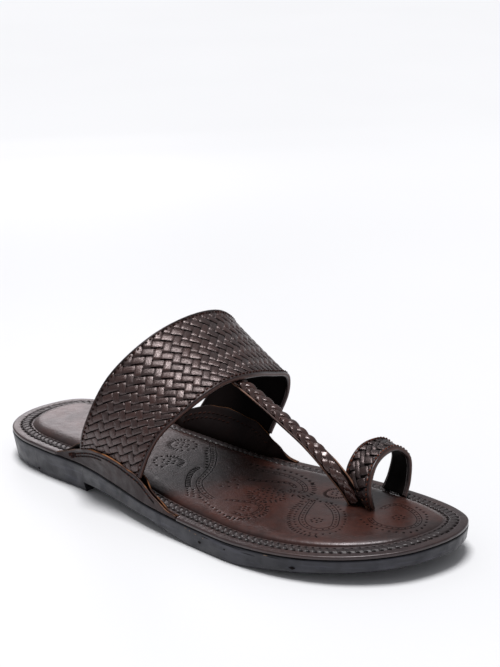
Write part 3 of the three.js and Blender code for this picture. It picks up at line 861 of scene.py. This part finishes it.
def inside_pad(x, y):
    """Distance inside the footbed's edge."""
    outline = np.vstack([SIDES[LATERAL], SIDES[MEDIAL][::-1]])[:, :2]
    near = np.full(x.shape, 1e9)
    for cx, cy in outline[::2]:
        near = np.minimum(near, (x - cx) ** 2 + (y - cy) ** 2)
    return np.sqrt(near) - PAD_INSET


def pad_surface(x, y, inside):
    soft = 0.18 * np.sin(x / 23) * np.sin(y / 17)
    return rim_height(x.ravel()).reshape(x.shape) + pad_rise(inside) + soft


def pad_border(xs, side):
    fine_x = np.linspace(0.02, LENGTH - 0.02, 3000)
    edge = inset_point(side, fine_x, np.full(3000, PAD_INSET))
    order = np.argsort(edge[:, 0])
    return np.interp(xs, edge[order, 0], edge[order, 1])


def footbed():
    """The crowned pad: its grid is finest where it is tooled, closer at its edges, and has a short skirt."""
    fine, lanes = ((0.5, 168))
    first, last, tooled_from, skirt = PAD_INSET, LENGTH - PAD_INSET, 80, 0.9
    ends = first + 10 * (1 - np.cos(np.linspace(0, math.pi / 2, 22)))
    rear, tooled = np.arange(first + 12, tooled_from, 2.2), np.arange(tooled_from, last - 10, fine)
    xs = np.unique(np.round(np.concatenate([ends, rear, tooled, LENGTH - ends]), 3))
    q = np.sin(np.linspace(-1, 1, lanes) * 1.29) / math.sin(1.29)
    low, high = pad_border(xs, LATERAL), pad_border(xs, MEDIAL)
    x = np.repeat(xs[:, None], lanes, 1)
    y = (low + high)[:, None] / 2 + (high - low)[:, None] / 2 * q[None]
    inside = inside_pad(x, y)
    points = np.stack([x, y, pad_surface(x, y, inside) - TOOL_DEPTH * tooling(x, y)], -1)
    points = np.pad(points, ((0, 0), (1, 1), (0, 0)), "edge")
    points[:, [0, -1], 2] -= skirt
    # Painted shade: darker within 2.5 mm of the pad's edge and darker still on the skirt at its base.
    mark = np.pad(0.3 * (1 - smooth(inside, 0, 2.5)), ((0, 0), (1, 1)), constant_values=0.8)
    batch = Batch()
    batch.grid(points, mark)
    piece = batch.make("footbed_leather_pad", LEATHER_PAD, "footbed_leather", closed=False)
    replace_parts(piece, "footbed")


def tooled_shade():
    """Painted shade in the tooling: near-black dots and ticks low in their hollows, lines just proud of the
    leather.
    """
    batch = Batch()
    low = -0.25 * TOOL_DEPTH

    def lay(outline, height):
        x, y = outline[..., 0], outline[..., 1]
        return np.stack([x, y, pad_surface(x, y, inside_pad(x, y)) + height], -1)

    for dots, size in DOTS:
        for loop in lay(dots[:, None] + circle(8) * size, low):
            batch.polygon(loop)
    for lines, half, height in ((TICKS, 0.38, low), (LINES, 0.2, 0.01)):
        ends = np.array(lines)
        a, b = ends[:, :2], ends[:, 2:]
        d = unit(b - a)
        n = np.stack([-d[:, 1], d[:, 0]], 1) * half
        for quad in lay(np.stack([[a - n, a + n], [b - n, b + n]]).transpose(2, 0, 1, 3), height):
            batch.grid(quad)
    batch.make("footbed_tooling_shade", TOOLING_SHADE, "footbed_leather", closed=False)


# ------------ sheets: strap and ring


class Sheet:
    """A strip of leather between a rear and a front edge curve, read in mm along and across."""

    def __init__(self, rows, width):
        self.rear, self.front = zip(*rows)
        self.width = width
        self.u = np.linspace(0, 1, 1201)
        self.run = run_along(self.raw(self.u, 0.5 + 0 * self.u))
        self.length = self.run[-1]

    def raw(self, u, v):
        rear, front = catmull(self.rear, u), catmull(self.front, u)
        return rear + (front - rear) * v[:, None]

    def normal(self, u, v):
        e = 0.003
        along = self.raw(np.minimum(u + e, 1), v) - self.raw(np.maximum(u - e, 0), v)
        across = self.raw(u, np.clip(v + e, 0, 1)) - self.raw(u, np.clip(v - e, 0, 1))
        return unit(np.cross(across, along))

    def at(self, along, across, height):
        """Point at along and across in mm, height above the outer face; any matching shapes."""
        along, across, height = np.broadcast_arrays(along, across, height)
        u = np.interp(along.ravel(), self.run, self.u)
        v = across.ravel() / self.width
        out = self.raw(u, v) + self.normal(u, np.clip(v, 0, 1)) * height.ravel()[:, None]
        return out.reshape(along.shape + (3,))


def strap_rows():
    """The strap's edges: its two ends follow the ears' middle sheets."""
    def ends(side, rear, front):
        return [[ear_point(EARS[side], row[k], row[0], STRAP_SKIVED / 2)[0] for k in (rear, front)]
                for row in STRAP_ENDS]
    return ends(LATERAL, 1, 2) + STRAP_ARCH + ends(MEDIAL, 3, 4)[::-1]


STRAP = Sheet(strap_rows(), STRAP_WIDTH)
RING = Sheet(RING_ROWS, RING_WIDTH)
# the falling and the rising floats: which way they slant, half length and half width in periods, height in mm
FLOATS = ((1, 0.415, 0.22, 0.6), (-1, 0.48, 0.19, 0.64))
FULL_STEP = 6.3


def brick(batch, sheet, centre, slant, half_length, half_width, top, number, limits, squeeze):
    """One float of the weave: a crowned piece of strip whose ends dip under its neighbours."""
    t = np.linspace(-1, 1, 11)[:, None]
    w = np.linspace(-1, 1, 7)[::-1][None]
    c, s = math.cos(slant), math.sin(slant)
    along = centre[0] + squeeze * (t * half_length * c - w * half_width * s)
    across = centre[1] + t * half_length * s + w * half_width * c
    dip = np.clip((np.abs(t) - 0.66) / 0.34, 0, 1)
    height = top * (1 - 0.16 * t ** 2) - 1.15 * dip ** 1.6 - 0.34 * np.abs(w) ** 4
    # Painted shade: darker where the float's ends dip under its neighbours and along its edges.
    mark = 0.75 * smooth(np.abs(t), 0.72, 0.97) + 0.5 * smooth(np.abs(w), 0.7, 1)
    grain = np.stack(np.broadcast_arrays(t * half_length, w * half_width, number * 7.31), -1)
    batch.grid(sheet.at(along, np.clip(across, *limits), height), mark, grain)


def weave(name, sheet, limits, span, step, period, first, slants, material, fill=1.0):
    """Twill of bricks: rows of falling and rising floats alternate across the strip.

    step(along) is the spacing of floats in a row, which squeezes them where it is under FULL_STEP. period is
    the spacing of like rows across the strip, and each period shifts a row back by half a step. first is the
    place of the first row, slants are the angles of the two kinds in degrees, and fill thins the floats.
    """
    batch = Batch()
    along = np.linspace(0, sheet.length, 800)
    index = np.concatenate([[0], np.cumsum(np.diff(along) / step((along[1:] + along[:-1]) / 2))])
    number = 0
    for half_row in range(-4, 2 * int(sheet.width / period) + 6):
        row, kind = half_row / 2, half_row % 2
        across = first + row * period
        if not limits[0] - 3.2 < across < limits[1] + 3.2:
            continue
        sign, half_length, half_width, top = FLOATS[kind]
        for n in range(-3, int(index[-1]) + 4):
            place_n = n + 0.5 * kind - 0.5 * row
            s = np.interp(place_n, index, along)
            if index[0] <= place_n <= index[-1] and span[0] < s < span[1]:
                number += 1
                brick(batch, sheet, (s, across), sign * math.radians(slants[kind]), half_length * period,
                      half_width * fill * period, top, number, limits, step(s) / FULL_STEP)
    batch.make(name, material, "woven_leather", closed=False)


def sheet_wall(sheet, outside, inside, span, edge):
    """Closed wall between two heights of a sheet, from edge to edge."""
    s = np.linspace(*span, 220)[:, None]
    lanes = np.linspace(edge, sheet.width - edge, 15)
    across = np.concatenate([lanes, lanes[::-1]])[None]
    low = inside(s) if callable(inside) else inside
    flat = np.zeros((len(s), len(lanes)))
    return sheet.at(s, across, np.hstack([outside + flat, low + flat]))


def binding(batch, sheet, near_front, span, width, depth):
    """A smooth strip folded over one edge of a sheet; its fold is paler."""
    side, edge = (1, sheet.width) if near_front else (-1, 0.0)
    under = -depth - 0.45
    # across from the edge, height, paleness
    section = np.array([
        (-width, 0.35, 0), (-width, 0.62, 0), (-width + 0.35, 0.78, 0), (-0.8 * width + 0.6, 0.84, 0),
        (-0.6, 0.8, 0), (-0.1, 0.6, 0.2), (0.25, 0.15, 1), (0.35, -0.5, 1), (0.3, -depth + 0.5, 0.2),
        (0.05, -depth - 0.15, 0), (-0.5, under, 0), (-width * 0.8, under, 0), (-width, -depth - 0.1, 0)])
    s = np.linspace(*span, 260)[:, None]
    batch.shell(sheet.at(s, edge + side * section[:, 0], section[:, 1]), 0.8 * section[:, 2])


def trim(name, sheet, span, widths, depth, inset, stitch, thread):
    """Bindings over both edges of a sheet, each sewn down with a row of stitches."""
    edges, seams = Batch(), Batch()
    for front, width in enumerate(widths):
        binding(edges, sheet, front, span, width, depth)
        s = np.linspace(*span, 600)
        across = sheet.width - inset if front else inset
        points, above = (sheet.at(s, across, height) for height in (0.86, 0.96))
        stitches(seams, points, unit(above - points), *stitch)
    edges.make(name + "_bindings", LEATHER_BINDING, "woven_leather")
    seams.make(name + "_stitches", thread, "woven_leather")


def strap():
    length = STRAP.length
    span, free = (2.0, length - 2.0), (12, length - 12)

    def lining_face(s):
        thickening = smooth(np.minimum(s, length - s), 36, 52)
        return 0.6 - STRAP_SKIVED - (STRAP_THICK - STRAP_SKIVED) * thickening

    def step(s):
        return 5.3 + 1.0 * smooth(s, 52, 72) - 1.0 * smooth(s, length - 72, length - 52)

    # A near-black sheet under the weave: painted shade seen through the gaps between the floats.
    woven_shell("strap_gap_shade", sheet_wall(STRAP, -0.55, -1.1, span, 0.6), SHADE_AND_NICK_DARK)
    # The lining's near-black colour is painted shade.
    lining = sheet_wall(STRAP, -0.9, lining_face, span, 0.15)
    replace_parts(woven_shell("strap_lining", lining, LEATHER_UNDERSIDE_SHADE), "upper")
    weave("strap_weave", STRAP, (0.8, 49.0), (8, length - 8), step, 9.5, 6.7, (55, 35), STRIPS)
    trim("strap", STRAP, free, (1.15, 1.2), 1.4, 1.9, (2.8, 1.7, 0.75, 0.6, 0.05), THREAD)


def toe_ring():
    span = (0.6, RING.length - 0.6)
    # A near-black sheet under the weave: painted shade seen through the gaps between the floats.
    woven_shell("ring_gap_shade", sheet_wall(RING, -0.5, -1.1, span, 0.5), SHADE_AND_NICK_DARK)
    # The lining's near-black colour is painted shade.
    woven_shell("ring_lining", sheet_wall(RING, -0.9, -RING_THICK + 0.5, span, 0.15), LEATHER_UNDERSIDE_SHADE)
    weave("ring_weave", RING, (1.4, RING_WIDTH - 1.4), (1, RING.length - 1), lambda s: 6.4 + 0 * s,
          10.2, 1.8, (56, 36), RING_STRIPS_SHADED, 0.86)
    trim("ring", RING, span, (1.9, 1.9), 1.3, 1.7, (2.5, 1.7, 0.8, 0.7, 0.02), RING_THREAD)


# ------------ thong

PLAIT_END = 0.95
PLAIT_REPEAT = 18.6
STRANDS, STRAND_SIDES = 3, 14


def thong_column(t, column):
    at = t * (len(THONG_ROWS) - 1)
    return np.interp(at, np.arange(len(THONG_ROWS)), THONG_ROWS[:, column])


def thong_frame(t):
    """Centre, across and outward axes of the thong at t from 0 to 1."""
    route = THONG_ROWS[:, :3]
    e = 0.002
    tangent = unit(catmull(route, np.minimum(t + e, 1)) - catmull(route, np.maximum(t - e, 0)))
    across = unit(np.array([0.0, 1.0, 0.0]) - tangent * tangent[:, 1:2])
    turn = np.radians(thong_column(t, 4))[:, None]
    across = across * np.cos(turn) + np.cross(tangent, across) * np.sin(turn)
    return catmull(route, t), across, unit(np.cross(tangent, across))


def thong():
    t = np.linspace(0, 1, 160)
    centre, across, out = thong_frame(t)
    width = thong_column(t, 3)
    path = centre - out * 1.1
    # The backing's near-black colour is painted shade under the plait.
    woven_shell("thong_backing", tube(path, across, out, width, 1.5, 16, 0.45), LEATHER_UNDERSIDE_SHADE)
    edge = Batch()
    for side in (-1, 1):
        line = path + across * (side * (width / 2 - 0.2))[:, None] + out * 0.6
        edge.shell(tube(line, across, out, 0.9, 0.8, 8))
    edge.make("thong_edges", LEATHER_EDGE, "woven_leather")
    plait = Batch()
    run = run_along(centre)
    end = np.interp(PLAIT_END, t, run)
    s = np.linspace(0, end, 260)
    centre, across, out = thong_frame(np.interp(s, run, t))
    close = 1 - 0.5 * smooth(s, 0.7 * end, 0.9 * end)
    for k in range(STRANDS):
        phase = 2 * math.pi * (s / PLAIT_REPEAT + k / STRANDS)
        swing = 2.05 * np.sin(phase) * close
        lift = 0.35 + 0.8 * np.sin(2 * phase) * close
        line = centre + across * swing[:, None] + out * lift[:, None]
        along = unit(np.gradient(line, axis=0))
        wide = unit(np.cross(out, along))
        up = unit(np.cross(along, wide))
        grain = np.broadcast_arrays(s[:, None], np.linspace(0, 4, STRAND_SIDES), k * 9.7)
        strand = tube(line, wide, up, 3.5 * (0.75 + 0.25 * close), 1.35, STRAND_SIDES, 0.55)
        plait.shell(strand, grain=np.stack(grain, -1))
    plait.make("thong_plait", BRAID, "woven_leather")


# ------------ ears


def ear_face(ear, xs, height, face, proud):
    """Points on an ear's outer (1) or inner (-1) face, or proud of it."""
    return ear_point(ear, xs, height, face * (ear_thickness(ear, xs) / 2 + proud))


def ear_ply(batch, ear, face, extra):
    """The outer (1) or the inner (-1) ply of an ear, extra higher, with a rounded raw top edge."""
    rows = ear["rows"]
    xs = np.linspace(rows[0, 0], rows[-1, 0], 150)
    height = value_at(rows, 1, xs)
    uneven = 0.12 * np.sin(xs / 2.9) + 0.1 * np.sin(xs / 1.7)
    top = np.maximum(height + extra * smooth(height, 0.5, 4), 0.1) + uneven
    foot = -1.3
    wall = [(foot + (top - 0.25 - foot) * k, 0.0, 0.0) for k in np.linspace(0, 1, 14)]
    # height, depth into the ply as a share of it, rawness
    front = wall + [(top - 0.08, 0.125, 0.75), (top, 0.3, 1.0)]
    section = front + [(level, 1 - depth, raw) for level, depth, raw in front[::-1]]
    loops = [ear_face(ear, xs, level, face, -depth * EAR_PLY) for level, depth, raw in section]
    marks = [raw * (0.25 + 0.75 * smooth(xs, 92, 108)) for level, depth, raw in section]
    batch.shell(np.array(loops).transpose(1, 0, 2), np.array(marks).T)


def ear_recess_shade(batch, ear):
    """Painted shade: a near-black shell in the recess between an ear and the rubber below it."""
    rows = ear["rows"]
    xs = np.linspace(rows[0, 0] + 0.5, rows[-1, 0] - 0.5, 120)
    corners = ((-2.0, 1), (-1.0, 1), (-1.0, -1), (-2.0, -1))
    loops = [ear_face(ear, xs, height, face, -0.55) for height, face in corners]
    batch.shell(np.array(loops).transpose(1, 0, 2))


def sew_ear(batch, ear, xs, below, face, proud, *stitch):
    """Stitches along a line below an ear's top edge, on its outer (1) or inner (-1) face."""
    height = value_at(ear["rows"], 1, xs) - below
    points, above = (ear_face(ear, xs, height, face, d) for d in (proud, 0.5))
    stitches(batch, points, unit(above - points), *stitch)


def ear_groove_shade(batch, ear, below, x_from, x_to):
    """Painted shade: a near-black ribbon under a row of stitching."""
    xs = np.linspace(x_from, x_to, 120)
    height = value_at(ear["rows"], 1, xs) - below
    lines = [ear_face(ear, xs, height + d * ear["side"], 1, 0.04) for d in (0.6, -0.6)]
    batch.grid(np.array(lines).transpose(1, 0, 2))


def ears():
    foot, groove_shades = Batch(), Batch()
    for side, name in ((LATERAL, "ear_lateral"), (MEDIAL, "ear_medial")):
        ear = EARS[side]
        outer, inner, thread = Batch(), Batch(), Batch()
        ear_ply(outer, ear, 1, 0.0)
        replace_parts(outer.make(name + "_outer_ply", LEATHER_EAR, "ear_leather"), name)
        ear_ply(inner, ear, -1, 0.9)
        # The inner ply's darker leather is painted shade.
        inner.make(name + "_inner_ply", LEATHER_EAR_INNER_SHADE, "ear_leather")
        # Painted shade in the recess under the ear.
        ear_recess_shade(foot, ear)
        first, last = ear["rows"][0, 0], ear["rows"][-1, 0]
        for below, end in ((2.5, last - 16), (4.6, first + 44)):
            # Painted shade along each row of stitching.
            ear_groove_shade(groove_shades, ear, below, first + 12, end)
            row = np.linspace(first + 12, end, 240)
            for face in (1, -1):
                sew_ear(thread, ear, row, below, face, 0.02, 2.9, 2.2, 0.8, 0.6, 0, 0.45)
        # upright stitches where the two rows meet
        for k in range(5):
            upright = np.full(12, first + 11 + 1.25 * k)
            sew_ear(thread, ear, upright, np.linspace(1.3, 4.4, 12), 1, 0.05, 2.6, 2.6, 0.8, 0.7, 0, 0.3)
        thread.make(name + "_stitches", THREAD, "ear_leather")
    foot.make("ear_recess_shading", SHADE_AND_NICK_DARK, "ear_leather")
    groove_shades.make("ear_stitch_groove_shade", SHADE_AND_NICK_DARK, "ear_leather", closed=False)


# ------------ stage


def camera():
    """At the photograph's viewing angle, framing the one sandal."""
    azimuth, elevation, roll = (math.radians(v) for v in (42.084, 17.456, -0.807))
    data = bpy.data.cameras.new("camera")
    data.lens = 106.58
    data.sensor_width = 36
    data.clip_start, data.clip_end = 0.05, 20
    cam = put("camera", data)
    level = math.cos(elevation)
    forward = Vector((-math.sin(azimuth) * level, math.cos(azimuth) * level, -math.sin(elevation)))
    right = Vector((math.cos(azimuth), math.sin(azimuth), 0))
    up = right.cross(forward)
    turned_right = right * math.cos(roll) + up * math.sin(roll)
    turned_up = up * math.cos(roll) - right * math.sin(roll)
    rotation = Matrix((turned_right, turned_up, -forward)).transposed()
    cam.matrix_world = Matrix.Translation(Vector(place((794.188, -702.673, 389.252)))) @ rotation.to_4x4()
    bpy.context.scene.camera = cam


def lamp(name, kind, power, direction):
    data = bpy.data.lights.new(name, kind)
    data.energy = power
    light = put(name, data)
    light.rotation_mode = "QUATERNION"
    light.rotation_quaternion = direction.to_track_quat("-Z", "Y")
    return light


def floor():
    """White paper, with painted shade below the rear card and in front of the card's plane, which evens out
    the pool of light the card throws on it.
    """
    size, height = 6, -0.0002
    corners = [(x * size, y * size, height) for x, y in ((-1, -1), (1, -1), (1, 1), (-1, 1))]
    mesh = bpy.data.meshes.new("floor")
    mesh.from_pydata(corners, [], [(0, 1, 2, 3)])
    s = Shader("pale_floor", 0.55, 0.2, tint=(1, 1, 1))
    paper = s.mix(s.patches(3, 2, 0.3, 0.7), srgb(237, 237, 239), srgb(239, 239, 241))
    below_card = s.ramp(s.vector_math("DISTANCE", s.where, (-0.62, 0.26, 0)), 0.1, 0.62, 1, 0)
    facing_card = s.ramp(s.vector_math("DOT_PRODUCT", s.where, (0.763, -0.647, 0)), -0.947, -0.847)
    # Painted shade where the rear card lights the floor.
    s.colour(s.mix(s.math("MULTIPLY", below_card, facing_card), paper, srgb(222, 223, 225)))
    mesh.materials.append(s.material)
    put("floor", mesh)


def lights():
    """A pale studio, a soft light from above and a bright card behind the sandal."""
    world = bpy.data.worlds.new("studio")
    world.use_nodes = True
    background = world.node_tree.nodes["Background"]
    background.inputs["Color"].default_value = (0.93, 0.94, 0.97, 1)
    background.inputs["Strength"].default_value = 0.31
    bpy.context.scene.world = world
    key = lamp("key", "SUN", 2.8, Vector((0.06, 0.02, -0.98)))
    key.data.angle = math.radians(24)
    card_at, card_aim = Vector((-0.7, 0.482, 0.29)), Vector((-0.11, -0.018, 0.02))
    card = lamp("rear_card", "AREA", 0.5, card_aim - card_at)
    card.location = card_at
    card.data.shape = "RECTANGLE"
    card.data.size, card.data.size_y = 0.25, 0.24
    card.data.color = (1, 0.94, 0.965)
    bpy.context.scene.view_settings.view_transform = "Standard"


camera()
floor()
lights()
rubber_sole()
wall_marks("wall_nicks", NICKS + SCRATCHES, SHADE_AND_NICK_DARK)
wall_marks("wall_specks", SPECKS, SCUFF)
insole_rim()
chart_motifs()
footbed()
tooled_shade()
strap()
toe_ring()
thong()
ears()
